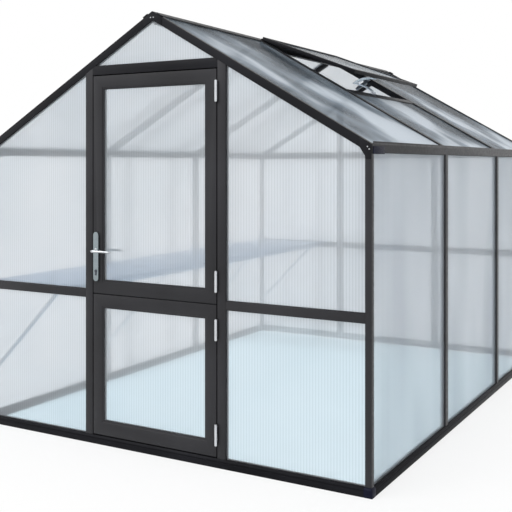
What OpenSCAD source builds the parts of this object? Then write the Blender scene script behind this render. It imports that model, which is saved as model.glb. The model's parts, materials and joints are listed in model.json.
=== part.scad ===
// Walk-in greenhouse: aluminium frame, twin-wall sheets, gable door in two leaves, roof vent
// X runs across, Y from the door wall to the rear wall, Z up from the ground

/* [Overall] */
// Width over the corner posts
width = 2500; // [2200:10:3000]
// Length of one bay, from one bay line to the next
bay_length = 1135; // [900:5:1400]
// Number of bays along each side
bays = 3; // [3:1:5]
// Roof pitch in degrees
pitch = 30; // [25:1:35]

/* [Base] */
// Height of the base rail
base_h = 47; // [42:1:60]
// How far the base rail stands out beyond the posts
base_proud = 6; // [3:0.5:12]
// Height of the base rail's lower band
base_band_h = 30; // [20:1:32]
// Depth and height of the groove over that band
base_groove = 3; // [1:0.5:4]
// Height at which the base rail's sloping ledge starts
base_ledge_z = 37; // [36:0.5:41]
// Length of a base corner piece along each wall
base_corner = 45; // [40:1:80]
// How far a corner piece stands out beyond the base rail
corner_proud = 1; // [0.5:0.5:3]

/* [Frame] */
// Depth of every wall member, and side of the square corner posts
frame_d = 32; // [30:1:50]
// Width of the door posts and of the rear posts
door_post_w = 50; // [40:1:70]
// Width of the side mullions and of the roof bars
mullion_w = 50; // [40:1:70]
// Height of the underside of the mid rails
mid_rail_z = 807; // [600:1:1000]
// Height of a mid rail
mid_rail_h = 45; // [30:1:60]
// Height of the tie rails across the rear wall
tie_h = 50; // [30:1:60]
// Height of a rafter or roof bar, square to the slope
rafter_h = 40; // [34:1:60]
// Gap at the mitre between the two rafters of a gable
mitre_gap = 0.4; // [0.2:0.1:1]
// Height of the eave beam
eave_beam_h = 53; // [48:1:80]
// Rise of the eave beam's lip over the roof surface at the wall face
eave_lip = 14; // [8:1:20]
// Thickness of the gutter's walls in the eave beam
eave_wall = 3; // [2:0.5:4]
// Thickness of the eave beam's inner wall
eave_inner = 7.5; // [6:0.5:12]
// Thickness of the gutter's floor
eave_floor = 15; // [12:1:20]
// Set-back of the eave beam's upper band from its face
eave_step = 2; // [1:0.5:3]
// Half width of the ridge beam's wings
ridge_wing = 38; // [30:1:60]
// Thickness of those wings, square to the slope
ridge_wing_t = 24; // [22:1:30]
// Height of the ridge beam, from its top to the foot of its web
ridge_h = 66; // [50:1:90]
// Width of the ridge beam's web
ridge_web = 12; // [6:1:20]
// Width of the foot of that web
ridge_foot_w = 34; // [20:1:50]
// Height of the foot of that web
ridge_foot_h = 8; // [5:1:12]

/* [Sheets] */
// Thickness of the twin-wall sheets
sheet_t = 10; // [6:0.5:12]
// Depth of the sheets behind the outer face of the wall members
sheet_back = 8; // [6:0.5:10]
// Depth of the roof sheets under the roof surface
roof_sheet_back = 6; // [4:0.5:7]
// How far a sheet's edge reaches into the groove that holds it
sheet_grip = 8; // [6:0.5:9]
// Clearance round a sheet in its groove
sheet_clear = 0.3; // [0.1:0.1:0.5]
// Distance from the wall face to the lower edge of the roof sheets
eave_overhang = 10; // [8:1:16]

/* [Door] */
// Clear width between the door posts
door_w = 817; // [700:1:1000]
// Height of the underside of the door header
door_h = 2040; // [1950:1:2200]
// Height of the door header
header_h = 50; // [40:1:70]
// How much of the header's top corner the rafter covers
header_cut = 10.3; // [5:0.1:20]
// Gap round each leaf
leaf_gap = 6; // [6:0.5:10]
// Height of the line where the upper and the lower leaf meet
leaf_meet_z = 831; // [700:1:950]
// Width of the leaves' stiles
stile_w = 70; // [60:1:90]
// Height of the leaves' rails
leaf_rail_h = 73; // [60:1:90]
// Height of the lower leaf's bottom rail
kick_rail_h = 80; // [60:1:120]
// Width of the glazing bead round a leaf's sheet
bead_w = 9; // [5:0.5:15]
// Set-back of that bead from the leaf's face
bead_back = 2.5; // [1:0.5:4]

/* [Hinges] */
// Height of a hinge
hinge_h = 104; // [80:1:120]
// Radius of a hinge's knuckles
hinge_r = 8; // [7:0.5:10]
// Radius of a hinge's pin
hinge_pin_r = 4.5; // [3:0.5:5]
// Clearance round the hinges' pins and the lever's neck
pin_clear = 0.08; // [0.02:0.01:0.1]
// Gap between two knuckles, and between a knuckle and the face behind it
knuckle_gap = 0.3; // [0.2:0.1:0.5]
// Thickness of a hinge's flanges
flange_t = 2; // [1:0.5:2]
// Depth of a hinge's flanges in the gap beside the leaf
flange_d = 26; // [15:1:28]
// Distance from a leaf's end to the middle of its hinge
hinge_inset = 114; // [80:1:160]
// The same at the top of the lower leaf
meet_hinge_inset = 126; // [80:1:160]

/* [Handle] */
// Distance from the upper leaf's closing edge to the middle of the handle plate
backset = 23; // [20:1:40]
// Width of a handle plate
plate_w = 35; // [28:1:40]
// Height of a handle plate
plate_h = 272; // [220:1:300]
// Thickness of a handle plate
plate_t = 9; // [6:0.5:12]
// Height of the lever's axis
lever_z = 1068; // [1000:1:1150]
// Distance from the lever's axis up to the top of its plate
plate_over = 104; // [80:1:120]
// Distance from the lever's axis down to the lock's
lock_drop = 112; // [70:1:120]
// Radius of the lever's neck
neck_r = 9; // [7:0.5:10]
// Clearance round the lever's neck in the door leaf
neck_clear = 2; // [1:0.5:4]
// Radius of the lever's grip
grip_r = 7.5; // [6:0.5:9]
// Radius of the spindle between the plates
spindle_r = 6; // [4:0.5:7]
// Length of the grip from the lever's axis
grip_l = 125; // [100:1:140]
// Distance from the leaf's face to the middle of the grip
grip_out = 50; // [40:1:60]
// Radius of the lock's barrel
barrel_r = 8.5; // [8:0.1:9]
// Width of the lock's lower web
lock_web = 10; // [8:0.5:10]
// Distance from the barrel's axis to the middle of the web's round end
lock_leg = 19; // [15:0.5:20]
// How far the lock stands out of the plates
lock_out = 2; // [1:0.5:4]
// Clearance round the lock
lock_clear = 0.3; // [0.1:0.1:0.5]

/* [Roof vent] */
// Bay that holds the vent, counted from the door
vent_bay = 2; // [1:1:3]
// Distance from the ridge line to the middle of the trimmer under the opening
trim_x = 632; // [500:1:800]
// Width of the trimmer, measured level
trim_w = 40; // [30:1:60]
// Thickness of the trimmer, square to the slope
trim_t = 30; // [24:1:40]
// Length of the vent's leaf down the slope
vent_l = 690; // [600:1:860]
// Lap of the vent's leaf over each roof bar
vent_lap = 20; // [10:1:24]
// Angle at which the vent stands open
vent_open = 9; // [4:1:40]
// Thickness of the vent's frame
vent_t = 22; // [18:1:30]
// Width of the vent's frame
vent_bar = 40; // [30:1:60]
// Radius of the bead that hinges the vent on the ridge
vent_bead_r = 5; // [4:0.5:6]
// Distance from the ridge line to that bead
vent_bead_x = 28; // [20:1:34]
// Gap under the bead
vent_seat = 0.3; // [0.1:0.1:0.5]
// Place of the opener along the trimmer, from the middle of the bay towards the door
opener_shift = 170; // [0:5:300]
// Distance from the trimmer's middle to the opener's elbow, measured level
opener_reach = 124; // [100:1:160]
// Height of the elbow over the roof surface
opener_rise = 8; // [5:1:20]
// Width of the opener's arms
opener_arm_w = 6; // [5:0.5:7]
// Thickness of the opener's arms
opener_arm_t = 3; // [2:0.5:4]
// Radius of the eyes at the ends of the arms
opener_eye_r = 4; // [4:0.25:6]
// Gap between two arms on one pin
opener_arm_gap = 1; // [0.5:0.5:2]
// Radius of the pins that join those arms
opener_pin_r = 2.5; // [2:0.5:3.5]
// Distance between the two arms of a pair
opener_fork = 32; // [28:1:50]
// Radius of the opener's cylinder
opener_cyl_r = 10; // [8:0.5:12]
// Length of the opener's cylinder
opener_cyl_l = 104; // [80:1:120]
// Angle of the cylinder to the level
opener_cyl_lean = 32; // [20:1:45]
// Place of the cylinder's upper end along the upper arms, from the elbow
opener_cyl_at = 0.68; // [0.5:0.01:0.8]
// Length of the opener's foot down the slope
opener_foot_l = 26; // [20:1:34]
// Width of the opener's foot
opener_foot_w = 44; // [36:1:60]
// Thickness of the opener's foot
opener_foot_t = 5; // [3:0.5:8]
// Height of the pivot over the foot
opener_pivot_h = 9; // [7:1:15]

/* [Gussets] */
// Thickness of the gusset plates
gusset_t = 2.5; // [2:0.5:4]
// Length of the ridge gusset along each rafter, measured level
ridge_gusset_x = 58; // [40:1:80]
// Half width of the ridge gusset's flat bottom
ridge_gusset_flat = 14; // [8:1:24]
// How far the eave gusset reaches along the rafter beyond the post
eave_gusset_x = 28; // [20:1:60]
// How far it reaches down the post, under the rafter
eave_gusset_z = 44; // [30:1:80]
// Length of its narrow end on the post
eave_gusset_tail = 14; // [8:1:30]
// Distance from the wall face to the start of the eave's cover
eave_cover_start = 16; // [4:1:40]
// Distance from the wall face to the end of the eave's cover
eave_cover_end = 160; // [100:5:240]
// Height of the eave's cover
eave_cover_h = 37; // [30:1:45]
// How far that cover hangs below the eave beam
eave_cover_drop = 7; // [2:1:12]
// Thickness of the eave's cover
eave_cover_t = 3; // [2:0.5:5]

/* [Shelf] */
// Height of the shelf's top
shelf_z = 850; // [700:1:950]
// Depth of the shelf
shelf_d = 620; // [400:5:700]
// Thickness of the shelf's deck
deck_t = 3; // [2:0.5:6]
// Height of the shelf's rails
shelf_rail_h = 32; // [25:1:50]
// Width of the shelf's rails
shelf_rail_w = 25; // [20:1:40]
// Gap between the shelf and the end walls
shelf_gap = 1; // [0.5:0.5:4]
// Gap between the end braces and the ends of the shelf
brace_in = 3; // [0:1:20]
// Radius of the braces
brace_r = 11; // [8:0.5:14]
// Distance from the wall to the top of a brace
brace_out = 520; // [300:5:560]
// Thickness of a brace's foot
brace_foot_t = 4; // [3:0.5:8]
// Height of a brace's foot
brace_foot_h = 60; // [40:1:100]

/* [Hidden] */
$fn = 48;

frame_colour = [0.22, 0.22, 0.23];
cover_colour = [0.13, 0.15, 0.22];
sheet_colour = [0.80, 0.86, 0.90];
silver_colour = [0.80, 0.82, 0.84];

// How far a cutting body runs past the face it cuts, and a web into the body it joins
past_face = 1;

half_w = width / 2;
length = bays * bay_length;
lever_reach = grip_out + neck_r;
base_reach = base_proud + corner_proud;
// The lever and the base corners keep the origin in the middle of the whole
front_y = (lever_reach - base_reach - length) / 2;
rear_y = front_y + length;
mid_y = (front_y + rear_y) / 2;

header_top = door_h + header_h;
// The rafters pass over the top corners of the door, which sets the height of the roof
eave_h = header_top - header_cut + rafter_h / cos(pitch) - (half_w - door_w / 2) * tan(pitch);
eave_bottom = eave_h + eave_lip - eave_beam_h;
mid_rail_top = mid_rail_z + mid_rail_h;
tie_top = eave_bottom + tie_h;
post_in = half_w - frame_d;
door_in = door_w / 2;
door_out = door_in + door_post_w;
above = 2 * eave_h;

leaf_x = door_in - leaf_gap;
upper_leaf_z = [leaf_meet_z + leaf_gap / 2, door_h - leaf_gap];
lower_leaf_z = [base_h + leaf_gap, leaf_meet_z - leaf_gap / 2];
hinge_x = door_in - leaf_gap / 2;
hinge_y = front_y - hinge_r - knuckle_gap;
upper_hinges_z = [upper_leaf_z[0] + hinge_inset, upper_leaf_z[1] - hinge_inset];
lower_hinges_z = [lower_leaf_z[0] + hinge_inset, lower_leaf_z[1] - meet_hinge_inset];
lever_x = -leaf_x + backset;

vent_y = [bay_start(vent_bay), bay_end(vent_bay)];
vent_mid_y = (vent_y[0] + vent_y[1]) / 2;
vent_axis = [vent_bead_x, roof_z(vent_bead_x) + (vent_bead_r + vent_seat) / cos(pitch)];

shelf_x = -post_in + shelf_d;
shelf_y = [front_y + frame_d + shelf_gap, rear_y - frame_d - shelf_gap];
shelf_rail_z = shelf_z - deck_t - shelf_rail_h;

// Height of the roof surface at a distance x from the ridge line
function roof_z(x) = eave_h + (half_w - abs(x)) * tan(pitch);

// Height at a depth d under the roof surface, square to the slope
function under_z(x, d) = roof_z(x) - d / cos(pitch);

// Place of a bay line, and the faces of the members on both sides of a bay
function bay_line(i) = front_y + i * bay_length;
function bay_start(i) = i == 1 ? front_y + frame_d : bay_line(i - 1) + mullion_w / 2;
function bay_end(i) = i == bays ? rear_y - frame_d : bay_line(i) - mullion_w / 2;

// Wall panels between their members: [left, right, bottom, top]
front_panels = [
    for (side = [-1, 1], part = [[base_h, mid_rail_z], [mid_rail_top, above]])
        [side < 0 ? -post_in : door_out, side < 0 ? -door_out : post_in, part[0], part[1]],
    [-door_in, door_in, header_top, above]
];
rear_panels = [
    for (span = [[-post_in, -door_out], [-door_in, door_in], [door_out, post_in]],
         part = [[base_h, mid_rail_z], [mid_rail_top, eave_bottom], [tie_top, above]])
        [span[0], span[1], part[0], part[1]]
];

// Turns an X-Z outline into a bar from y0 to y1
module along_y(y0, y1)
    translate([0, y1, 0])
        rotate([90, 0, 0])
            linear_extrude(y1 - y0)
                children();

// Turns a Y-Z outline into a bar from x0 to x1
module along_x(x0, x1)
    translate([x0, 0, 0])
        rotate([90, 0, 90])
            linear_extrude(x1 - x0)
                children();

module both_sides() {
    children();
    mirror([1, 0, 0]) children();
}

module other_end()
    translate([0, 2 * mid_y, 0])
        mirror([0, 1, 0])
            children();

module both_ends() {
    children();
    other_end() children();
}

// Box given by its two corners
module box(a, b)
    translate(a)
        cube(b - a);

module rectangle(x0, x1, z0, z1)
    translate([x0, z0])
        square([x1 - x0, z1 - z0]);

// Outline of everything under the rafters, raised by g
module under_rafters(g = 0)
    polygon([
        [-half_w, 0], [half_w, 0],
        [half_w, under_z(half_w, rafter_h - g)],
        [0, under_z(0, rafter_h - g)],
        [-half_w, under_z(half_w, rafter_h - g)]
    ]);

// Band along the right slope between two depths, cut upright at x0 and x1
module slope_band(x0, x1, d0, d1)
    polygon([
        [x0, under_z(x0, d0)], [x1, under_z(x1, d0)],
        [x1, under_z(x1, d1)], [x0, under_z(x0, d1)]
    ]);

module wall_panel(p, g)
    intersection() {
        rectangle(p[0] - g, p[1] + g, p[2] - g, p[3] + g);
        under_rafters(g);
    }

// Sheets, with a clearance c all round for the grooves that hold them
module gable_sheets(panels, c = 0)
    along_y(front_y + sheet_back - c, front_y + sheet_back + sheet_t + c)
        for (p = panels)
            wall_panel(p, sheet_grip + c);

module side_sheets(c = 0)
    for (i = [1:bays])
        box([half_w - sheet_back - sheet_t - c, bay_start(i) - sheet_grip - c, base_h - sheet_grip - c],
            [half_w - sheet_back + c, bay_end(i) + sheet_grip + c, eave_bottom + sheet_grip + c]);

module roof_sheets(vented, c = 0)
    for (i = [1:bays]) {
        top_x = vented && i == vent_bay ? trim_x + trim_w / 2 : ridge_wing;
        along_y(bay_start(i) - sheet_grip - c, bay_end(i) + sheet_grip + c)
            slope_band(top_x - sheet_grip - c, half_w - eave_overhang + c,
                       roof_sheet_back - c, roof_sheet_back + sheet_t + c);
    }

module right_slope_space() roof_sheets(true, sheet_clear);
module left_slope_space() mirror([1, 0, 0]) roof_sheets(false, sheet_clear);
module side_space() both_sides() side_sheets(sheet_clear);
module front_space() gable_sheets(front_panels, sheet_clear);
module rear_space() other_end() gable_sheets(rear_panels, sheet_clear);

// Base rail's outline: distance out from the wall face, and height
base_outline = [
    [-frame_d, 0], [base_proud, 0], [base_proud, base_band_h],
    [base_proud - base_groove, base_band_h], [base_proud - base_groove, base_band_h + base_groove],
    [base_proud, base_band_h + base_groove], [base_proud, base_ledge_z], [0, base_h], [-frame_d, base_h]
];
base_x = half_w + base_reach - base_corner;
base_y = [front_y - base_reach + base_corner, rear_y + base_reach - base_corner];

module cross_base_rail()
    along_x(-base_x, base_x)
        polygon([for (p = base_outline) [front_y - p[0], p[1]]]);

module side_base_rail()
    along_y(base_y[0], base_y[1])
        polygon([for (p = base_outline) [half_w + p[0], p[1]]]);

module base_front_rail()
    color(frame_colour)
        difference() {
            cross_base_rail();
            front_space();
        }

module base_rear_rail()
    color(frame_colour)
        difference() {
            other_end() cross_base_rail();
            rear_space();
        }

module base_left_rail()
    color(frame_colour)
        difference() {
            mirror([1, 0, 0]) side_base_rail();
            side_space();
        }

module base_right_rail()
    color(frame_colour)
        difference() {
            side_base_rail();
            side_space();
        }

// Moulded block under a corner post, sloped like the rails that meet it
module base_corner_block() {
    block = [
        [base_reach - base_corner, 0], [base_reach, 0], [base_reach, base_ledge_z],
        [corner_proud, base_h], [base_reach - base_corner, base_h]
    ];
    intersection() {
        along_y(front_y - base_reach, front_y - base_reach + base_corner)
            polygon([for (p = block) [half_w + p[0], p[1]]]);
        along_x(half_w + base_reach - base_corner, half_w + base_reach)
            polygon([for (p = block) [front_y - p[0], p[1]]]);
    }
}

module base_corners()
    color(cover_colour)
        difference() {
            both_ends() both_sides() base_corner_block();
            front_space();
            rear_space();
            side_space();
        }

module corner_posts()
    color(frame_colour)
        difference() {
            both_ends()
                both_sides()
                    along_y(front_y, front_y + frame_d)
                        intersection() {
                            rectangle(post_in, half_w, base_h, above);
                            under_rafters();
                        }
            front_space();
            rear_space();
            side_space();
        }

// Upright beside the doorway, cut along the rafter over it
module gable_post()
    along_y(front_y, front_y + frame_d)
        intersection() {
            rectangle(door_in, door_out, base_h, above);
            under_rafters();
        }

module door_posts()
    color(frame_colour)
        difference() {
            both_sides() gable_post();
            front_space();
        }

module rear_posts()
    color(frame_colour)
        difference() {
            other_end() both_sides() gable_post();
            rear_space();
        }

module door_header()
    color(frame_colour)
        difference() {
            along_y(front_y, front_y + frame_d)
                intersection() {
                    rectangle(-door_in, door_in, door_h, header_top);
                    under_rafters();
                }
            front_space();
        }

// Rails between the uprights of a gable, cut along the rafters where they reach them
module side_rail(z0, z1)
    both_sides()
        along_y(front_y, front_y + frame_d)
            intersection() {
                rectangle(door_out, post_in, z0, z1);
                under_rafters();
            }

module middle_rail(z0, z1)
    along_y(front_y, front_y + frame_d)
        rectangle(-door_in, door_in, z0, z1);

module front_mid_rails()
    color(frame_colour)
        difference() {
            side_rail(mid_rail_z, mid_rail_top);
            front_space();
        }

module rear_mid_rails()
    color(frame_colour)
        difference() {
            other_end() {
                side_rail(mid_rail_z, mid_rail_top);
                middle_rail(mid_rail_z, mid_rail_top);
            }
            rear_space();
        }

module rear_tie_rails()
    color(frame_colour)
        difference() {
            other_end() {
                side_rail(eave_bottom, tie_top);
                middle_rail(eave_bottom, tie_top);
            }
            rear_space();
        }

module mullions()
    difference() {
        for (i = [1:bays - 1])
            box([post_in, bay_line(i) - mullion_w / 2, base_h],
                [half_w, bay_line(i) + mullion_w / 2, eave_bottom]);
        side_sheets(sheet_clear);
    }

module left_mullions() color(frame_colour) mirror([1, 0, 0]) mullions();
module right_mullions() color(frame_colour) mullions();

// Eave beam with its gutter; the inner wall carries the roof sheets' lower edge
module eave_beam() {
    trough_in = post_in + eave_inner;
    carry = roof_sheet_back + sheet_t + sheet_clear;
    difference() {
        along_y(front_y + frame_d, rear_y - frame_d)
            polygon([
                [half_w, eave_bottom],
                [half_w, eave_h - eave_step],
                [half_w - eave_step, eave_h],
                [half_w - eave_step, eave_h + eave_lip],
                [half_w - eave_step - eave_wall, eave_h + eave_lip],
                [half_w - eave_step - eave_wall, eave_bottom + eave_floor],
                [trough_in, eave_bottom + eave_floor],
                [trough_in, under_z(trough_in, carry)],
                [post_in, under_z(post_in, carry)],
                [post_in, eave_bottom]
            ]);
        side_sheets(sheet_clear);
    }
}

module left_eave_beam() color(frame_colour) mirror([1, 0, 0]) eave_beam();
module right_eave_beam() color(frame_colour) eave_beam();

// Plastic cover over the joint between the eave beam and the corner post
module eave_covers()
    color(cover_colour)
        both_ends()
            both_sides()
                box([half_w, front_y + eave_cover_start, eave_bottom - eave_cover_drop],
                    [half_w + eave_cover_t, front_y + eave_cover_end,
                     eave_bottom - eave_cover_drop + eave_cover_h]);

module ridge_beam()
    color(frame_colour)
        difference() {
            along_y(front_y + frame_d, rear_y - frame_d)
                union() {
                    both_sides() slope_band(0, ridge_wing, 0, ridge_wing_t);
                    rectangle(-ridge_web / 2, ridge_web / 2,
                              roof_z(0) - ridge_h, roof_z(ridge_web / 2) - past_face);
                    rectangle(-ridge_foot_w / 2, ridge_foot_w / 2,
                              roof_z(0) - ridge_h, roof_z(0) - ridge_h + ridge_foot_h);
                }
            right_slope_space();
            left_slope_space();
        }

module gable_rafters()
    both_sides()
        along_y(front_y, front_y + frame_d)
            slope_band(mitre_gap / 2, half_w, 0, rafter_h);

module front_rafters()
    color(frame_colour)
        difference() {
            gable_rafters();
            front_space();
            side_space();
            right_slope_space();
            left_slope_space();
        }

module rear_rafters()
    color(frame_colour)
        difference() {
            other_end() gable_rafters();
            rear_space();
            side_space();
            right_slope_space();
            left_slope_space();
        }

// Bars between the bays of one slope, with a cap that runs on over the gutter to its lip
module roof_bars()
    for (i = [1:bays - 1])
        along_y(bay_line(i) - mullion_w / 2, bay_line(i) + mullion_w / 2)
            union() {
                slope_band(ridge_wing, post_in, 0, rafter_h);
                slope_band(ridge_wing, half_w - eave_step - eave_wall, 0, roof_sheet_back - sheet_clear);
            }

module left_roof_bars()
    color(frame_colour)
        difference() {
            mirror([1, 0, 0]) roof_bars();
            left_slope_space();
        }

module right_roof_bars()
    color(frame_colour)
        difference() {
            roof_bars();
            right_slope_space();
        }

// Plates over the joints on the gables' faces
module eave_gussets() {
    reach_x = post_in - eave_gusset_x;
    color(frame_colour)
        both_ends()
            both_sides()
                along_y(front_y - gusset_t, front_y)
                    polygon([
                        [half_w, roof_z(half_w)],
                        [half_w, under_z(reach_x, rafter_h) - eave_gusset_z - eave_gusset_tail],
                        [post_in, under_z(reach_x, rafter_h) - eave_gusset_z - eave_gusset_tail],
                        [post_in, under_z(reach_x, rafter_h) - eave_gusset_z],
                        [reach_x, under_z(reach_x, rafter_h)],
                        [reach_x, roof_z(reach_x)]
                    ]);
}

module ridge_gussets()
    color(frame_colour)
        both_ends()
            along_y(front_y - gusset_t, front_y)
                polygon([
                    [0, roof_z(0)],
                    [ridge_gusset_x, roof_z(ridge_gusset_x)],
                    [ridge_gusset_x, under_z(ridge_gusset_x, rafter_h)],
                    [ridge_gusset_flat, under_z(ridge_gusset_flat, rafter_h)],
                    [-ridge_gusset_flat, under_z(ridge_gusset_flat, rafter_h)],
                    [-ridge_gusset_x, under_z(ridge_gusset_x, rafter_h)],
                    [-ridge_gusset_x, roof_z(ridge_gusset_x)]
                ]);

// Bar under the vent's opening, which also holds the upper edge of the sheet below it
module vent_trimmer()
    color(frame_colour)
        difference() {
            along_y(vent_y[0], vent_y[1])
                slope_band(trim_x - trim_w / 2, trim_x + trim_w / 2, 0, trim_t);
            right_slope_space();
        }

// Places the vent's leaf: x runs down its length from the bead's axis, z out of its face
module on_vent()
    translate([vent_axis[0], 0, vent_axis[1]])
        rotate([0, pitch - vent_open, 0])
            children();

vent_edge_y = [vent_y[0] - vent_lap, vent_y[1] + vent_lap];
vent_start = vent_bead_r - past_face;

module vent_leaf_sheet(c = 0)
    box([vent_start + vent_bar - sheet_grip - c, vent_edge_y[0] + vent_bar - sheet_grip - c,
         -vent_bead_r + (vent_t - sheet_t) / 2 - c],
        [vent_l - vent_bar + sheet_grip + c, vent_edge_y[1] - vent_bar + sheet_grip + c,
         -vent_bead_r + (vent_t + sheet_t) / 2 + c]);

module vent_frame()
    color(frame_colour)
        on_vent()
            difference() {
                union() {
                    box([vent_start, vent_edge_y[0], -vent_bead_r],
                        [vent_l, vent_edge_y[1], vent_t - vent_bead_r]);
                    translate([0, vent_edge_y[1], 0])
                        rotate([90, 0, 0])
                            cylinder(r = vent_bead_r, h = vent_edge_y[1] - vent_edge_y[0]);
                }
                box([vent_start + vent_bar, vent_edge_y[0] + vent_bar, -vent_t],
                    [vent_l - vent_bar, vent_edge_y[1] - vent_bar, 2 * vent_t]);
                vent_leaf_sheet(sheet_clear);
            }

module vent_sheet()
    color(sheet_colour)
        on_vent()
            vent_leaf_sheet();

// Round rod between two points of an X-Z plane
module rod(p, q, r) {
    d = q - p;
    translate([p[0], 0, p[1]])
        rotate([0, atan2(d[0], d[1]), 0])
            cylinder(r = r, h = norm(d));
}

// Flat arm between two points of an X-Z plane, with an eye at each end
module arm(p, q, y) {
    d = q - p;
    along_y(y - opener_arm_t / 2, y + opener_arm_t / 2) {
        translate(p)
            rotate(atan2(d[1], d[0]))
                translate([0, -opener_arm_w / 2])
                    square([norm(d), opener_arm_w]);
        for (end = [p, q])
            translate(end)
                circle(r = opener_eye_r);
    }
}

// Pin along Y, centred on a point of an X-Z plane
module cross_pin(p, r, l)
    translate([p[0], l / 2, p[1]])
        rotate([90, 0, 0])
            cylinder(r = r, h = l);

// Self-acting opener: a foot on the trimmer, two pairs of arms that meet at an elbow, and a
// cylinder that hangs between them; its upper end reaches under the vent's lower rail
module vent_opener() {
    ear_h = vent_seat + opener_foot_t + opener_pivot_h;
    pivot = [trim_x + ear_h * sin(pitch), roof_z(trim_x) + ear_h * cos(pitch)];
    elbow = [trim_x - opener_reach, roof_z(trim_x - opener_reach) + opener_rise];
    hook_l = vent_l - vent_bar / 2;
    lean = pitch - vent_open;
    drop = vent_bead_r + vent_seat + opener_eye_r;
    hook = vent_axis + [hook_l * cos(lean) - drop * sin(lean), -hook_l * sin(lean) - drop * cos(lean)];
    cyl_top = elbow + opener_cyl_at * (hook - elbow);
    cyl_dir = [cos(opener_cyl_lean), sin(opener_cyl_lean)];
    step = opener_arm_t + opener_arm_gap;
    color(silver_colour)
        translate([0, vent_mid_y - opener_shift, 0]) {
            translate([trim_x, 0, roof_z(trim_x)])
                rotate([0, pitch, 0]) {
                    translate([-opener_foot_l / 2, -opener_foot_w / 2, vent_seat])
                        cube([opener_foot_l, opener_foot_w, opener_foot_t]);
                    for (side = [-1, 1])
                        translate([-opener_eye_r, side * (opener_fork / 2 - step) - opener_arm_t / 2,
                                   vent_seat])
                            cube([2 * opener_eye_r, opener_arm_t, ear_h - vent_seat + opener_eye_r]);
                }
            for (side = [-1, 1]) {
                arm(pivot, elbow, side * opener_fork / 2);
                arm(elbow, hook, side * (opener_fork / 2 + step));
            }
            for (p = [pivot, elbow, hook, cyl_top])
                cross_pin(p, opener_pin_r, opener_fork + 4 * step);
            rod(cyl_top - opener_cyl_l * cyl_dir, cyl_top + 2 * opener_pin_r * cyl_dir, opener_cyl_r);
        }
}

module front_sheets() color(sheet_colour) gable_sheets(front_panels);
module rear_sheets() color(sheet_colour) other_end() gable_sheets(rear_panels);
module left_sheets() color(sheet_colour) mirror([1, 0, 0]) side_sheets();
module right_sheets() color(sheet_colour) side_sheets();
module left_roof_sheets() color(sheet_colour) mirror([1, 0, 0]) roof_sheets(false);
module right_roof_sheets() color(sheet_colour) roof_sheets(true);

// Places of the braces along the shelf: the bay lines, and just inside both end walls
brace_ys = [
    shelf_y[0] + brace_r + brace_in,
    for (i = [1:bays - 1]) bay_line(i),
    shelf_y[1] - brace_r - brace_in
];

module shelf_rails()
    color(silver_colour) {
        for (x = [-post_in, shelf_x - shelf_rail_w])
            box([x, shelf_y[0], shelf_rail_z], [x + shelf_rail_w, shelf_y[1], shelf_z - deck_t]);
    }

// Cross bars between the shelf's rails, one over each brace
module shelf_bearers()
    color(silver_colour) {
        for (y = brace_ys)
            box([-post_in + shelf_rail_w, y - brace_r, shelf_rail_z],
                [shelf_x - shelf_rail_w, y + brace_r, shelf_z - deck_t]);
    }

module shelf_deck()
    color(silver_colour)
        box([-post_in, shelf_y[0], shelf_z - deck_t], [shelf_x, shelf_y[1], shelf_z]);

// Brace at 45 degrees, flattened at its top against the cross rail, with a foot on the wall
module brace() {
    top = [-post_in + brace_out, shelf_rail_z];
    wall = [-post_in, shelf_rail_z - brace_out];
    past = [2 * brace_r, 2 * brace_r];
    intersection() {
        rod(wall - past, top + past, brace_r);
        box([-post_in, -brace_r, 0], [shelf_x, brace_r, shelf_rail_z]);
    }
    box([-post_in, -brace_r, wall[1] - brace_foot_h / 2],
        [-post_in + brace_foot_t, brace_r, wall[1] + brace_foot_h / 2]);
}

module shelf_braces()
    color(silver_colour) {
        for (y = brace_ys)
            translate([0, y, 0])
                brace();
    }

// Frame of one leaf, from z0 to z1, with a glazing bead set back on both faces
module leaf_frame(z, foot_h) {
    glass = [-leaf_x + stile_w, leaf_x - stile_w, z[0] + foot_h, z[1] - leaf_rail_h];
    difference() {
        along_y(front_y, front_y + frame_d)
            rectangle(-leaf_x, leaf_x, z[0], z[1]);
        along_y(front_y - past_face, front_y + frame_d + past_face)
            rectangle(glass[0], glass[1], glass[2], glass[3]);
        for (y = [[front_y - past_face, front_y + bead_back],
                  [front_y + frame_d - bead_back, front_y + frame_d + past_face]])
            along_y(y[0], y[1])
                rectangle(glass[0] - bead_w, glass[1] + bead_w, glass[2] - bead_w, glass[3] + bead_w);
        leaf_sheet(z, foot_h, sheet_clear);
    }
}

module leaf_sheet(z, foot_h, c = 0) {
    g = sheet_grip + c;
    along_y(front_y + sheet_back - c, front_y + sheet_back + sheet_t + c)
        rectangle(-leaf_x + stile_w - g, leaf_x - stile_w + g, z[0] + foot_h - g, z[1] - leaf_rail_h + g);
}

module upper_leaf_frame()
    color(frame_colour)
        difference() {
            leaf_frame(upper_leaf_z, leaf_rail_h);
            along_y(front_y - past_face, front_y + frame_d + past_face) {
                translate([lever_x, lever_z]) circle(r = neck_r + neck_clear);
                lock_outline(lock_clear);
            }
        }

module upper_leaf_sheet() color(sheet_colour) leaf_sheet(upper_leaf_z, leaf_rail_h);
module lower_leaf_frame() color(frame_colour) leaf_frame(lower_leaf_z, kick_rail_h);
module lower_leaf_sheet() color(sheet_colour) leaf_sheet(lower_leaf_z, kick_rail_h);

// Half of a hinge at height z: side 1 is fixed to the post, side -1 to the leaf
module hinge_flange(z, side, spans) {
    x = side > 0 ? door_in - flange_t : leaf_x;
    box([x, front_y + knuckle_gap, z - hinge_h / 2], [x + flange_t, front_y + flange_d, z + hinge_h / 2]);
    for (s = spans)
        box([x, hinge_y, z + s[0]], [x + flange_t, front_y + past_face, z + s[1]]);
}

knuckle_h = hinge_h / 3;

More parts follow.
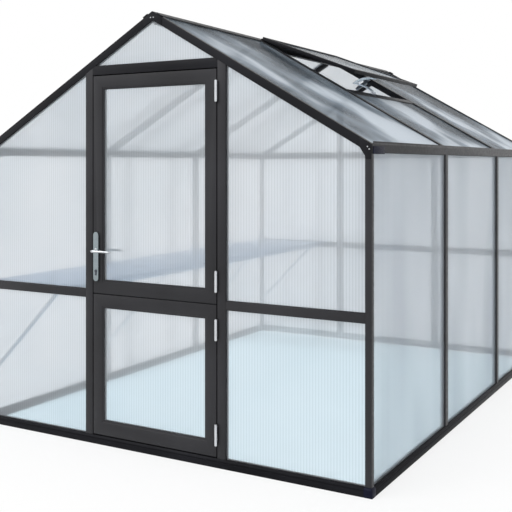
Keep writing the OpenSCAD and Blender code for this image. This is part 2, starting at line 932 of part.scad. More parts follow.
module frame_hinges()
    color(silver_colour) {
        for (z = concat(lower_hinges_z, upper_hinges_z)) {
            ends = [[-hinge_h / 2, -knuckle_h / 2], [knuckle_h / 2, hinge_h / 2]];
            hinge_flange(z, 1, ends);
            translate([hinge_x, hinge_y, 0]) {
                for (s = ends)
                    translate([0, 0, z + s[0]])
                        cylinder(r = hinge_r, h = s[1] - s[0]);
                translate([0, 0, z - hinge_h / 2])
                    cylinder(r = hinge_pin_r, h = hinge_h);
            }
        }
    }

module leaf_hinge(z) {
    span = [-knuckle_h / 2 + knuckle_gap, knuckle_h / 2 - knuckle_gap];
    difference() {
        union() {
            hinge_flange(z, -1, [span]);
            translate([hinge_x, hinge_y, z + span[0]])
                cylinder(r = hinge_r, h = span[1] - span[0]);
        }
        translate([hinge_x, hinge_y, z - hinge_h])
            cylinder(r = hinge_pin_r + pin_clear, h = 2 * hinge_h);
    }
}

module upper_leaf_hinges()
    color(silver_colour) {
        for (z = upper_hinges_z)
            leaf_hinge(z);
    }

module lower_leaf_hinges()
    color(silver_colour) {
        for (z = lower_hinges_z)
            leaf_hinge(z);
    }

// Lock's outline, with a clearance c round it
module lock_outline(c = 0)
    translate([lever_x, lever_z - lock_drop]) {
        circle(r = barrel_r + c);
        translate([0, -lock_leg]) circle(r = lock_web / 2 + c);
        translate([-lock_web / 2 - c, -lock_leg]) square([lock_web + 2 * c, lock_leg]);
    }

module plate_outline()
    difference() {
        union() {
            for (z = [lever_z + plate_over - plate_w / 2, lever_z + plate_over - plate_h + plate_w / 2])
                translate([lever_x, z])
                    circle(r = plate_w / 2);
            rectangle(lever_x - plate_w / 2, lever_x + plate_w / 2,
                      lever_z + plate_over - plate_h + plate_w / 2, lever_z + plate_over - plate_w / 2);
        }
        translate([lever_x, lever_z]) circle(r = neck_r + pin_clear);
        lock_outline(lock_clear);
    }

module handle_plates()
    color(silver_colour) {
        along_y(front_y - plate_t, front_y) plate_outline();
        along_y(front_y + frame_d, front_y + frame_d + plate_t) plate_outline();
    }

module lock_cylinder()
    color(silver_colour)
        along_y(front_y - plate_t - lock_out, front_y + frame_d + plate_t + lock_out)
            lock_outline();

// Lever grips on both faces, joined by the spindle
module door_lever()
    color(silver_colour)
        translate([lever_x, 0, lever_z])
            for (end = [[front_y, -1], [front_y + frame_d, 1]]) {
                grip_y = end[0] + end[1] * grip_out;
                along_y(min(end[0], grip_y), max(end[0], grip_y)) circle(r = neck_r);
                translate([0, grip_y, 0]) {
                    sphere(r = neck_r);
                    rotate([0, 90, 0]) cylinder(r = grip_r, h = grip_l - grip_r);
                    translate([grip_l - grip_r, 0, 0]) sphere(r = grip_r);
                }
                along_y(front_y, front_y + frame_d) circle(r = spindle_r);
            }

base_front_rail();
base_rear_rail();
base_left_rail();
base_right_rail();
base_corners();
corner_posts();
door_posts();
door_header();
front_mid_rails();
rear_posts();
rear_mid_rails();
rear_tie_rails();
left_mullions();
right_mullions();
left_eave_beam();
right_eave_beam();
eave_covers();
ridge_beam();
front_rafters();
rear_rafters();
left_roof_bars();
right_roof_bars();
eave_gussets();
ridge_gussets();
vent_trimmer();
vent_frame();
vent_sheet();
vent_opener();
front_sheets();
rear_sheets();
left_sheets();
right_sheets();
left_roof_sheets();
right_roof_sheets();
shelf_rails();
shelf_bearers();
shelf_deck();
shelf_braces();
upper_leaf_frame();
upper_leaf_sheet();
lower_leaf_frame();
lower_leaf_sheet();
frame_hinges();
upper_leaf_hinges();
lower_leaf_hinges();
handle_plates();
lock_cylinder();
door_lever();
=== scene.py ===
import json
import math

import bmesh
import bpy
from mathutils import Matrix, Vector

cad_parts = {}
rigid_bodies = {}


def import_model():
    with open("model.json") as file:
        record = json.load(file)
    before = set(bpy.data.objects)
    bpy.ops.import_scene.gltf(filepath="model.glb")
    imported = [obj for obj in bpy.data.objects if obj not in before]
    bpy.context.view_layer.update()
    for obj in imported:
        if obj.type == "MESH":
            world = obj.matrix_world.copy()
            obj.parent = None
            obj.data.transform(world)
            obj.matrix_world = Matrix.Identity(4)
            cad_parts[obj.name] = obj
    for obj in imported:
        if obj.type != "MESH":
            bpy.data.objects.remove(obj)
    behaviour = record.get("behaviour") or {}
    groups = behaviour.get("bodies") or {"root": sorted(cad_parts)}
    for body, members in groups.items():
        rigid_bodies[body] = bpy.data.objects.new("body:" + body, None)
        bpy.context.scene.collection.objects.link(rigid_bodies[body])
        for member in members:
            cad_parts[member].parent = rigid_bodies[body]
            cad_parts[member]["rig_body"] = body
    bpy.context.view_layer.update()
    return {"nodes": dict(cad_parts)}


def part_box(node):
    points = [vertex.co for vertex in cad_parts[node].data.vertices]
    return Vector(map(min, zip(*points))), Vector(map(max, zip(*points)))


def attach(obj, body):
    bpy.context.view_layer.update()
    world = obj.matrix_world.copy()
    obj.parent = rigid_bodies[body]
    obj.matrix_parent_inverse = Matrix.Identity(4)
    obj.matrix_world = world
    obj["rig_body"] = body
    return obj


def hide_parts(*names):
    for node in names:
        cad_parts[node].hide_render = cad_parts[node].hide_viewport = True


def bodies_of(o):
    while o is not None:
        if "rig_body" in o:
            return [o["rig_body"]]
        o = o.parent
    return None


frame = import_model()
nodes = frame["nodes"]

# Mesh work, in metres
MERGE = 1e-6
WELD = 2e-5
FLAT = math.radians(0.5)
SHARP = math.radians(30)
DIGITS = 5
ROUND_STEPS = 24
TUBE_STEPS = 4
DOME_EASE = 0.5

# Twin-wall sheets and their seals
RIB_PITCH = 0.016
RIB_T = 0.0009
RIB_INSET = 0.0003
RIB_LEAST = 0.012
GRIP = 0.0075
GASKET_W = 0.003
GASKET_T = 0.0025

# Roof, hinges, bolts and door stops
PITCH = math.radians(30)
HINGE_R = 0.008
BOLT_R = 0.0037
BOLT_H = 0.0022
SEAL_CLEAR = 0.0004
SEAL_T = 0.004
SEAL_LAP = 0.0095
SEAL_FOOT = 0.006
SEAL_EASE = 0.001

# Gloss and the bending of light
PAINT_GLOSS = 0.28
ROOF_GLOSS = 0.12
BASE_GLOSS = 0.05
PLASTIC_GLOSS = 0.12
SHEET_GLOSS = 0.5
ROOF_SHEET_GLOSS = 0.002
SOLID_IOR = 1.58
FLUTED_IOR = 1.12
FLUTED_BLUR = (0.29, 0.35)
RIB_ROUGH = (0.2, 0.35)
EAVE_LINES = 0.009
DECK_LINES = 0.031

# Nodes whose edges are eased, with the width of the easing
BASE_NODES = {
    "base_front_rail": 0.0012, "base_rear_rail": 0.0012, "base_left_rail": 0.0012,
    "base_right_rail": 0.0012,
}
FRAME_NODES = {
    "corner_posts": 0.0015, "door_posts": 0.0015, "front_mid_rails": 0.0015,
    "rear_posts": 0.0015, "rear_mid_rails": 0.0015, "rear_tie_rails": 0.0015,
    "left_mullions": 0.0015, "right_mullions": 0.0015, "upper_leaf_frame": 0.0016,
    "lower_leaf_frame": 0.0016,
}
ROOF_NODES = {
    "door_header": 0.0015, "front_rafters": 0.0015,
    "rear_rafters": 0.0015, "left_roof_bars": 0.0012, "right_roof_bars": 0.0012,
    "vent_trimmer": 0.0012, "vent_frame": 0.002, "eave_gussets": 0.0008,
    "ridge_gussets": 0.0008,
}
EAVE_NODES = {"left_eave_beam": 0.001, "right_eave_beam": 0.001}
COVER_NODES = {"eave_covers": 0.0012, "base_corners": 0.002}
SHELF_NODES = {"shelf_rails": 0.002, "shelf_bearers": 0.0015, "shelf_deck": 0.001}
SILVER_NODES = {
    "frame_hinges": 0.0006, "upper_leaf_hinges": 0.0006, "lower_leaf_hinges": 0.0006,
}
LOCK_NODES = {"lock_cylinder": 0.0006}
HANDLE_NODES = {"handle_plates": 0.003}

post_low, post_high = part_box("corner_posts")
half_w = post_high.x
front_y, rear_y = post_low.y, post_high.y
roof_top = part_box("front_rafters")[1].z


# ---------------------------------------------------------------- materials

def start(name):
    """A new material, its nodes and its surface."""
    material = bpy.data.materials.new(name)
    material.use_nodes = True
    return material, material.node_tree, material.node_tree.nodes["Principled BSDF"]


def noise(tree, scale, detail=3.0, stretch=(1, 1, 1)):
    """Noise on the piece's own coordinates, as a value socket."""
    place = tree.nodes.new("ShaderNodeTexCoord")
    mapping = tree.nodes.new("ShaderNodeMapping")
    mapping.inputs["Scale"].default_value = stretch
    grain = tree.nodes.new("ShaderNodeTexNoise")
    grain.inputs["Scale"].default_value = scale
    grain.inputs["Detail"].default_value = detail
    tree.links.new(place.outputs["Object"], mapping.inputs["Vector"])
    tree.links.new(mapping.outputs["Vector"], grain.inputs["Vector"])
    return grain.outputs["Fac"]


def stripes(tree, axis, pitch):
    """Even bands across one axis, as a value socket."""
    place = tree.nodes.new("ShaderNodeTexCoord")
    wave = tree.nodes.new("ShaderNodeTexWave")
    wave.wave_type = "BANDS"
    wave.bands_direction = "XYZ"[axis]
    wave.wave_profile = "SIN"
    wave.inputs["Scale"].default_value = math.pi / 10 / pitch
    wave.inputs["Distortion"].default_value = 0.0
    tree.links.new(place.outputs["Object"], wave.inputs["Vector"])
    return wave.outputs["Fac"]


def between(tree, value, low, high, start_at=0.3, end_at=0.7):
    """Turns a value into a number between low and high."""
    spread = tree.nodes.new("ShaderNodeMapRange")
    for key, number in (("From Min", start_at), ("From Max", end_at),
                        ("To Min", low), ("To Max", high)):
        spread.inputs[key].default_value = number
    tree.links.new(value, spread.inputs["Value"])
    return spread.outputs["Result"]


def shades(tree, value, stops):
    """Turns a value into a colour: stops are (place, colour)."""
    ramp = tree.nodes.new("ShaderNodeValToRGB")
    elements = ramp.color_ramp.elements
    while len(elements) < len(stops):
        elements.new(0.5)
    for element, (at, colour) in zip(elements, stops):
        element.position = at
        element.color = (*colour, 1)
    tree.links.new(value, ramp.inputs["Fac"])
    return ramp.outputs["Color"]


def relief(tree, principled, heights, depths, strength):
    """Bumps in layers: heights are value sockets, with one depth each."""
    last = None
    for height, depth in zip(heights, depths):
        bump = tree.nodes.new("ShaderNodeBump")
        bump.inputs["Strength"].default_value = strength
        bump.inputs["Distance"].default_value = depth
        tree.links.new(height, bump.inputs["Height"])
        if last:
            tree.links.new(last, bump.inputs["Normal"])
        last = bump.outputs["Normal"]
    tree.links.new(last, principled.inputs["Normal"])


def tinted(colour, share):
    """A colour made darker or lighter."""
    return tuple(min(1.0, c * share) for c in colour)


def powder_coat(name, colour, lines=None, gloss=PAINT_GLOSS):
    """Fine textured paint on aluminium; lines is the pitch of drawn lines, one above another."""
    material, tree, paint = start(name)
    cloud = noise(tree, 2.2, 4)
    tree.links.new(
        shades(tree, cloud, [(0.3, tinted(colour, 0.75)), (0.7, tinted(colour, 1.3))]),
        paint.inputs["Base Color"])
    tree.links.new(between(tree, noise(tree, 55, 3), 0.34, 0.5), paint.inputs["Roughness"])
    paint.inputs["Specular IOR Level"].default_value = gloss
    heights, depths = [noise(tree, 900, 2), noise(tree, 120, 2)], [0.00012, 0.00006]
    if lines:
        heights.append(stripes(tree, 2, lines))
        depths.append(0.0008)
    relief(tree, paint, heights, depths, 0.5)
    return material


def moulded_plastic(name, colour):
    """Finely grained moulded plastic."""
    material, tree, plastic = start(name)
    tones = [(0.35, tinted(colour, 0.85)), (0.7, tinted(colour, 1.2))]
    tree.links.new(shades(tree, noise(tree, 30, 3), tones), plastic.inputs["Base Color"])
    tree.links.new(between(tree, noise(tree, 90, 3), 0.42, 0.6), plastic.inputs["Roughness"])
    plastic.inputs["Specular IOR Level"].default_value = PLASTIC_GLOSS
    relief(tree, plastic, [noise(tree, 1500, 2)], [0.0001], 0.5)
    return material


def rubber(name):
    """Dull black rubber."""
    material, tree, skin = start(name)
    tones = [(0.3, (0.012, 0.012, 0.014)), (0.7, (0.028, 0.028, 0.032))]
    tree.links.new(shades(tree, noise(tree, 25, 3), tones), skin.inputs["Base Color"])
    tree.links.new(between(tree, noise(tree, 60, 3), 0.6, 0.8), skin.inputs["Roughness"])
    relief(tree, skin, [noise(tree, 1200, 2)], [0.00012], 0.6)
    return material


def brushed_metal(name, colour, stretch, rough=(0.22, 0.36)):
    """Satin metal, brushed along the axis that stretch makes long."""
    material, tree, metal = start(name)
    metal.inputs["Metallic"].default_value = 1.0
    brush = noise(tree, 700, 3, stretch)
    tones = [(0.3, tinted(colour, 0.9)), (0.7, tinted(colour, 1.08))]
    tree.links.new(shades(tree, noise(tree, 12, 3), tones), metal.inputs["Base Color"])
    tree.links.new(between(tree, brush, *rough), metal.inputs["Roughness"])
    relief(tree, metal, [brush], [0.00006], 0.4)
    return material


def shelf_sheet_metal(name, colour):
    """Coated sheet metal with soft rolled lines along its length."""
    material, tree, metal = start(name)
    metal.inputs["Metallic"].default_value = 0.35
    tones = [(0.25, tinted(colour, 0.9)), (0.75, tinted(colour, 1.06))]
    cloud = noise(tree, 5, 4, (1, 0.25, 1))
    tree.links.new(shades(tree, cloud, tones), metal.inputs["Base Color"])
    wear = noise(tree, 260, 3, (1, 0.06, 1))
    tree.links.new(between(tree, wear, 0.3, 0.45), metal.inputs["Roughness"])
    rolled, grain = stripes(tree, 0, DECK_LINES), noise(tree, 500, 2, (1, 0.1, 1))
    relief(tree, metal, [rolled, grain], [0.0006, 0.0001], 0.5)
    return material


def paint_eave_light(tree, value, share):
    """Painted light: shifts a value from less at the ridge to more at the right eave, so the colour
    is painted darker at the ridge and lighter at the eave.
    """
    place = tree.nodes.new("ShaderNodeTexCoord")
    split = tree.nodes.new("ShaderNodeSeparateXYZ")
    both = tree.nodes.new("ShaderNodeMath")
    both.operation = "ADD"
    tree.links.new(place.outputs["Object"], split.inputs["Vector"])
    tree.links.new(between(tree, split.outputs["X"], -share, share, 0, half_w), both.inputs[0])
    tree.links.new(value, both.inputs[1])
    return both.outputs["Value"]


def fluted(tree, colour, axis):
    """Darkens a colour in fine even lines across a sheet, at the pitch of its inner walls."""
    lines = tree.nodes.new("ShaderNodeMix")
    lines.data_type = "RGBA"
    lines.blend_type = "MULTIPLY"
    lines.inputs["Factor"].default_value = 1.0
    tones = [(0.0, (0.80, 0.80, 0.80)), (0.55, (1, 1, 1))]
    shade = shades(tree, stripes(tree, axis, RIB_PITCH), tones)
    tree.links.new(colour, lines.inputs["A"])
    tree.links.new(shade, lines.inputs["B"])
    return lines.outputs["Result"]


def clear_plastic(name, stops, alpha, rough, axis=None, stretch=(1, 1, 1), gloss=SHEET_GLOSS,
                  painted_eave_light=0.0, blurred=0.0):
    """See-through plastic, clouded between the stops' colours; axis runs across its flutes,
    the eave share is painted light that makes it paler towards the eave, and blurred is the share
    of light that it scatters."""
    material, tree, plastic = start(name)
    cloud = noise(tree, 1.5, 2, stretch)
    if painted_eave_light:
        cloud = paint_eave_light(tree, cloud, painted_eave_light)
    tint = shades(tree, cloud, stops)
    if axis is not None:
        tint = fluted(tree, tint, axis)
    tree.links.new(tint, plastic.inputs["Base Color"])
    tree.links.new(between(tree, noise(tree, 7, 3), *rough), plastic.inputs["Roughness"])
    plastic.inputs["Alpha"].default_value = alpha
    plastic.inputs["IOR"].default_value = FLUTED_IOR if blurred else SOLID_IOR
    plastic.inputs["Transmission Weight"].default_value = blurred
    plastic.inputs["Specular IOR Level"].default_value = gloss
    if axis is not None:
        flutes, waves = stripes(tree, axis, RIB_PITCH), noise(tree, 3, 2)
        relief(tree, plastic, [flutes, waves], [0.00015, 0.003], 0.4)
    return material


# ---------------------------------------------------------------- pieces

def finish_piece(name, bm, material, body, replaces=(), turn_out=True):
    """Makes the mesh an object that rides on a body."""
    mesh = bpy.data.meshes.new(name)
    if turn_out:
        bmesh.ops.recalc_face_normals(bm, faces=bm.faces)
    bm.to_mesh(mesh)
    bm.free()
    mesh.materials.append(material)
    mesh.shade_smooth()
    mesh.set_sharp_from_angle(angle=SHARP)
    made = bpy.data.objects.new(name, mesh)
    bpy.context.scene.collection.objects.link(made)
    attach(made, body)
    if replaces:
        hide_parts(*replaces)


def body_of(node):
    """The body that a node rides on."""
    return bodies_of(nodes[node])[0]


def finish_node(node, material):
    """Gives a node that shows as it is its material."""
    nodes[node].data.materials.clear()
    nodes[node].data.materials.append(material)


def merged(node):
    """A copy of a node's mesh with its triangles joined into flat faces."""
    bm = bmesh.new()
    bm.from_mesh(nodes[node].data)
    bmesh.ops.remove_doubles(bm, verts=bm.verts, dist=WELD)
    bmesh.ops.dissolve_degenerate(bm, dist=WELD, edges=bm.edges)
    bmesh.ops.dissolve_limit(bm, angle_limit=FLAT, verts=bm.verts, edges=bm.edges)
    return bm


def edges_of(verts):
    """The edges that meet at some vertices, in a fixed order."""
    return list(dict.fromkeys(e for v in verts for e in v.link_edges))


def ease(bm, edges, width, steps=2):
    """Rounds edges a little and gives the new vertices."""
    return bmesh.ops.bevel(bm, geom=edges, offset=width, offset_type="OFFSET", segments=steps,
                           profile=0.5, affect="EDGES", clamp_overlap=True, material=-1)["verts"]


def draw_out(bm, faces, along):
    """Turns flat faces into solid bars."""
    made = bmesh.ops.extrude_face_region(bm, geom=faces)["geom"]
    moved = [v for v in made if isinstance(v, bmesh.types.BMVert)]
    bmesh.ops.translate(bm, verts=moved, vec=along)


def eased(node, width, material):
    """A node with its sharp edges eased."""
    bm = merged(node)
    edges = [e for e in bm.edges if e.is_manifold and e.calc_face_angle(0) > SHARP]
    ease(bm, edges, width)
    bmesh.ops.dissolve_degenerate(bm, dist=WELD, edges=bm.edges)
    finish_piece(node + "_eased", bm, material, body_of(node), [node], turn_out=False)


def solids(bm):
    """The separate bodies of a mesh, each as its faces."""
    seen, found = set(), []
    for first in bm.faces:
        if first in seen:
            continue
        seen.add(first)
        group = [first]
        for face in group:
            for other in (f for edge in face.edges for f in edge.link_faces):
                if other not in seen:
                    seen.add(other)
                    group.append(other)
        found.append(group)
    return found


def prism(bm, ring, along):
    """A closed bar from a flat ring of points and the way it is drawn out."""
    draw_out(bm, [bm.faces.new([bm.verts.new(p) for p in ring])], along)


def section(points, axis, at):
    """Outline of a sheet where it is cut square to axis, a little inside its skin."""
    if axis == 1:
        corners = sorted({(round(p.x, DIGITS), round(p.z, DIGITS)) for p in points})
        mid = Vector((sum(c[0] for c in corners), sum(c[1] for c in corners))) / len(corners)
        ring = sorted(corners, key=lambda c: math.atan2(c[1] - mid.y, c[0] - mid.x))
        reaches = [Vector(c) - mid for c in ring]
        inner = [mid + reach * (1 - RIB_INSET * 2 / reach.length) for reach in reaches]
        return [Vector((c.x, at, c.y)) for c in inner]
    y0, y1 = min(p.y for p in points) + RIB_INSET, max(p.y for p in points) - RIB_INSET
    low = min(p.z for p in points)
    tops = {}
    for p in points:
        key = round(p.x, DIGITS)
        tops[key] = max(tops.get(key, p.z), p.z)
    xs = sorted(tops)
    for left, right in zip(xs, xs[1:]):
        if left <= at <= right:
            top = tops[left] + (tops[right] - tops[left]) * (at - left) / (right - left)
            break
    return [Vector((at, y, z)) for y, z in ((y0, low), (y1, low), (y1, top), (y0, top))]


def add_ribs(node, axis, material):
    """The upright walls inside a twin-wall sheet."""
    source, bm = merged(node), bmesh.new()
    step = Vector((RIB_T, 0, 0)) if axis == 0 else Vector((0, RIB_T, 0))
    for group in solids(source):
        points = [v.co for v in {v for f in group for v in f.verts}]
        lo, hi = min(p[axis] for p in points), max(p[axis] for p in points)
        count = int((hi - lo) / RIB_PITCH)
        first = lo + (hi - lo - (count - 1) * RIB_PITCH) / 2
        for i in range(count):
            ring = section(points, axis, first + i * RIB_PITCH)
            if (ring[2] - ring[1]).length > RIB_LEAST:
                prism(bm, ring, step)
    source.free()
    finish_piece(node + "_ribs", bm, material, body_of(node))


def rim_of(bm, face, width):
    """Insets a face and gives the rim round it."""
    return bmesh.ops.inset_region(bm, faces=[face], thickness=width, use_boundary=True,
                                  use_even_offset=True)["faces"]


def add_gaskets(node, material):
    """Rubber seals round both faces of a node's sheets."""
    source, bm = merged(node), bmesh.new()
    for group in solids(source):
        for face in sorted(group, key=lambda f: -f.calc_area())[:2]:
            pane = bm.faces.new([bm.verts.new(v.co) for v in face.verts])
            pane.normal_update()
            bmesh.ops.delete(bm, geom=rim_of(bm, pane, GRIP), context="FACES")
            rim = rim_of(bm, pane, GASKET_W)
            bmesh.ops.delete(bm, geom=[pane], context="FACES")
            draw_out(bm, rim, face.normal * GASKET_T)
    source.free()
    bmesh.ops.delete(bm, geom=[v for v in bm.verts if not v.link_faces], context="VERTS")
    finish_piece(node + "_seals", bm, material, body_of(node))


def tube(bm, points, radii):
    """A round bar along points, as wide as radii say, with closed ends."""
    curve = bpy.data.curves.new("path", "CURVE")
    curve.dimensions = "3D"
    curve.bevel_depth = 1.0
    curve.bevel_resolution = TUBE_STEPS
    curve.use_fill_caps = True
    curve.resolution_u = 6
    spline = curve.splines.new("NURBS")
    spline.points.add(len(points) - 1)
    for point, place, radius in zip(spline.points, points, radii):
        point.co = (*place, 1)
        point.radius = radius
    spline.order_u = min(4, len(points))
    spline.use_endpoint_u = True
    made = bpy.data.objects.new("path", curve)
    mesh = bpy.data.meshes.new_from_object(made)
    bm.from_mesh(mesh)
    bpy.data.meshes.remove(mesh)
    bpy.data.objects.remove(made)
    bpy.data.curves.remove(curve)
    bmesh.ops.remove_doubles(bm, verts=bm.verts, dist=MERGE)


def dome(bm, centre, axis, radius, height, flats=ROUND_STEPS):
    """A low round or six-sided head that stands out along axis."""
    turn = Vector((0, 0, 1)).rotation_difference(Vector(axis)).to_matrix().to_4x4()
    made = bmesh.ops.create_cone(bm, cap_ends=True, segments=flats, radius1=radius,
                                 radius2=radius, depth=height)["verts"]
    bmesh.ops.translate(bm, verts=made, vec=(0, 0, height / 2))
    rim = [e for e in edges_of(made) if all(v.co.z > height / 2 for v in e.verts)]
    new = ease(bm, rim, min(radius, height) * DOME_EASE, 3)
    verts = {v for v in made if v.is_valid} | set(new)
    bmesh.ops.transform(bm, matrix=Matrix.Translation(centre) @ turn, verts=list(verts))


def slab(bm, size, centre, width=0.0, turned=0.0):
    """A box with its edges eased by width, turned about Y and then moved to its centre."""
    verts = bmesh.ops.create_cube(bm, size=1)["verts"]
    bmesh.ops.scale(bm, vec=size, verts=verts)
    if width:
        new = ease(bm, edges_of(verts), width)
        verts = list({v for v in verts if v.is_valid} | set(new))
    bmesh.ops.rotate(bm, cent=(0, 0, 0), matrix=Matrix.Rotation(turned, 3, "Y"), verts=verts)
    bmesh.ops.translate(bm, vec=centre, verts=verts)


def block(bm, low, high, width=0.0):
    """A box between two corners, with its edges eased by width."""
    low, high = Vector(low), Vector(high)
    slab(bm, high - low, (low + high) / 2, width)


# ---------------------------------------------------------------- finishes

frame_paint = powder_coat("frame_powder_coat", (0.0220, 0.0216, 0.0246))
# Painted shade: a darker copy of the frame paint for the roof members, door header and ridge
roof_frame_paint_painted_shade = powder_coat("frame_powder_coat_painted_shade_roof", (0.0130, 0.0130, 0.0155), gloss=ROOF_GLOSS)
# Painted shade: a darker copy of the frame paint for the base rails
base_frame_paint_painted_shade = powder_coat("frame_powder_coat_painted_shade_base", (0.0120, 0.0120, 0.0145), gloss=BASE_GLOSS)
eave_paint = powder_coat("eave_powder_coat", (0.022, 0.022, 0.025), lines=EAVE_LINES)
navy = moulded_plastic("navy_plastic", (0.0050, 0.0060, 0.0190))
seal = rubber("seal_rubber")
silver = brushed_metal("satin_silver", (0.66, 0.68, 0.71), (1, 1, 0.05))
lever_metal = brushed_metal("lever_metal", (0.55, 0.57, 0.59), (0.05, 1, 1))
# Painted light: a lighter copy of the silver for the opener arms, making up for the vent's shade
# over them
painted_lit_silver = brushed_metal("painted_lit_silver", (0.80, 0.86, 0.92), (1, 0.1, 1))
steel = brushed_metal("zinc_steel", (0.60, 0.63, 0.68), (0.08, 1, 0.08))
deck = shelf_sheet_metal("shelf_metal", (0.43, 0.54, 0.69))
dark_metal = brushed_metal("dark_cylinder", (0.10, 0.11, 0.13), (0.1, 1, 0.1), (0.3, 0.45))
milky = [(0.36, (0.86, 0.91, 0.95)), (0.64, (0.94, 0.97, 1.00))]
# Painted shade: a greyer copy of the milky sheet tones, for the rear and right side sheets
painted_shade_sheet_tones = [(0.38, (0.58, 0.64, 0.70)), (0.62, (0.88, 0.93, 0.98))]
# Painted reflections and shade for the right roof and vent sheets: dark streaks and white
# highlights put into the sheet's colour
painted_reflection_streaks = [(0.34, (0.050, 0.062, 0.076)), (0.45, (0.14, 0.168, 0.195)), (0.56, (0.33, 0.385, 0.44)),
           (0.65, (0.84, 0.91, 0.98))]
rib_tones = [(0.4, (0.48, 0.53, 0.58)), (0.6, (0.56, 0.61, 0.66))]
tall_clouds, roof_clouds = (1, 1, 0.3), (0.9, 1.5, 0.9)
sheet_across_x = clear_plastic("sheet_across_x", milky, 0.51, FLUTED_BLUR, 0, blurred=0.66)
sheet_across_y = clear_plastic("sheet_across_y", milky, 0.48, FLUTED_BLUR, 1, blurred=0.66)
# The rear and right side sheets take the painted-shade tones
rear_sheet = clear_plastic("rear_sheet", painted_shade_sheet_tones, 0.55, FLUTED_BLUR, 0, tall_clouds, blurred=0.62)
side_sheet = clear_plastic("side_sheet", painted_shade_sheet_tones, 0.48, FLUTED_BLUR, 1, tall_clouds, blurred=0.66)
# The right roof and vent sheets carry painted reflections in their colour, paler towards the eave
# as painted light, with almost no gloss of their own
roof_sheet = clear_plastic("roof_sheet", painted_reflection_streaks, 0.68, (0.06, 0.18), 1, roof_clouds,
                           gloss=ROOF_SHEET_GLOSS, painted_eave_light=0.13)
left_roof_sheet = clear_plastic("left_roof_sheet", milky, 0.48, FLUTED_BLUR, 1, roof_clouds,
                                blurred=0.62)
rib_plastic = clear_plastic("rib_plastic", rib_tones, 0.06, RIB_ROUGH)
faint_rib_plastic = clear_plastic("faint_rib_plastic", rib_tones, 0.04, RIB_ROUGH)
handle_metal = brushed_metal("handle_metal", (0.30, 0.35, 0.37), (1, 1, 0.05), (0.25, 0.4))

# ---------------------------------------------------------------- the frame

for group, material, slot in (
    (BASE_NODES, base_frame_paint_painted_shade, "frame_paint"), (FRAME_NODES, frame_paint, "frame_paint"),
    (ROOF_NODES, roof_frame_paint_painted_shade, "frame_paint"), (EAVE_NODES, eave_paint, "frame_paint"),
    (LOCK_NODES, dark_metal, "hardware"), (COVER_NODES, navy, "cover_plastic"),
    (SHELF_NODES, deck, "shelf_metal"), (SILVER_NODES, silver, "hardware"),
    (HANDLE_NODES, handle_metal, "hardware"),
):
    for node, width in group.items():
        eased(node, width, material)

# Each sheet: the axis across its ribs (0 for X, 1 for Y), its skin and its ribs
SHEETS = {
    "front_sheets": (0, sheet_across_x, rib_plastic),
    "rear_sheets": (0, rear_sheet, rib_plastic),
    "upper_leaf_sheet": (0, sheet_across_x, rib_plastic),
    "lower_leaf_sheet": (0, sheet_across_x, rib_plastic),
    "left_sheets": (1, sheet_across_y, faint_rib_plastic),
    "right_sheets": (1, side_sheet, rib_plastic),
    "left_roof_sheets": (1, left_roof_sheet, faint_rib_plastic),
    "right_roof_sheets": (1, roof_sheet, faint_rib_plastic),
    "vent_sheet": (1, roof_sheet, faint_rib_plastic),
}
for node, (axis, skin, ribs) in SHEETS.items():
    finish_node(node, skin)
    add_ribs(node, axis, ribs)
    add_gaskets(node, seal)

finish_node("shelf_braces", steel)
finish_node("ridge_beam", roof_frame_paint_painted_shade)


# ---------------------------------------------------------------- small parts

def roof_at(x):
    """Height of the roof's surface."""
    return roof_top - abs(x) * math.tan(PITCH)


def add_bolts():
    """Silver bolt heads on the gussets of both gables."""
    flats = 6
    eave_places = ((0.019, 0.016), (0.010, 0.004))
    ridge_x, ridge_drop = 0.009, 0.034
    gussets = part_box("eave_gussets")
    places = [(half_w - inwards, post_high.z + up) for inwards, up in eave_places]
    places.append((ridge_x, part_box("ridge_gussets")[1].z - ridge_drop))
    bm = bmesh.new()
    for out, y in ((-1, gussets[0].y), (1, gussets[1].y)):
        for side in (-1, 1):
            for x, z in places:
                dome(bm, (side * x, y, z), (0, out, 0), BOLT_R, BOLT_H, flats)
    finish_piece("gusset_bolts", bm, silver, "shell")


def add_ridge_ends():
    """Small stops on the slopes at both ends of the ridge."""
    width, height, lap = 0.034, 0.010, 0.020
    x, rise, rounding = 0.045, 0.002, 0.0012
    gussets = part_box("ridge_gussets")
    bm = bmesh.new()
    for y0, y1 in ((gussets[0].y, front_y + lap), (rear_y - lap, gussets[1].y)):
        for side in (-1, 1):
            slab(bm, (width, y1 - y0, height), (side * x, (y0 + y1) / 2, roof_at(x) + rise),
                 rounding, side * PITCH)
    finish_piece("ridge_ends", bm, roof_frame_paint_painted_shade, "shell")


def add_door_seals():
    """Rubber stops behind the gaps round the door, and a strip in the gap between its leaves: real
    stops, also there as dark pieces standing in for the shadow in the gaps.
    """
    door_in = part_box("door_header")[1].x
    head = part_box("door_header")[0].z
    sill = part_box("base_front_rail")[1].z
    leaf_low, leaf_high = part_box("lower_leaf_frame")
    y0 = leaf_high.y + SEAL_CLEAR
    y1 = y0 + SEAL_T
    bm = bmesh.new()
    for side in (-1, 1):
        x0, x1 = sorted((side * (door_in - SEAL_LAP), side * (door_in + SEAL_FOOT)))
        block(bm, (x0, y0, sill - SEAL_FOOT), (x1, y1, head + SEAL_FOOT), SEAL_EASE)
    across = door_in - SEAL_LAP
    for z0, z1 in ((head - SEAL_LAP, head + SEAL_FOOT), (sill - SEAL_FOOT, sill + SEAL_LAP)):
        block(bm, (-across, y0, z0), (across, y1, z1), SEAL_EASE)
    finish_piece("door_seals", bm, seal, "shell")

    end_gap, front_gap, back_gap, height, rounding = 0.004, 0.012, 0.022, 0.0045, 0.0008
    strip = bmesh.new()
    block(strip, (leaf_low.x + end_gap, leaf_low.y + front_gap, leaf_high.z),
          (-leaf_low.x - end_gap, leaf_low.y + back_gap, leaf_high.z + height), rounding)
    finish_piece("leaf_strip", strip, seal, "lower_leaf")


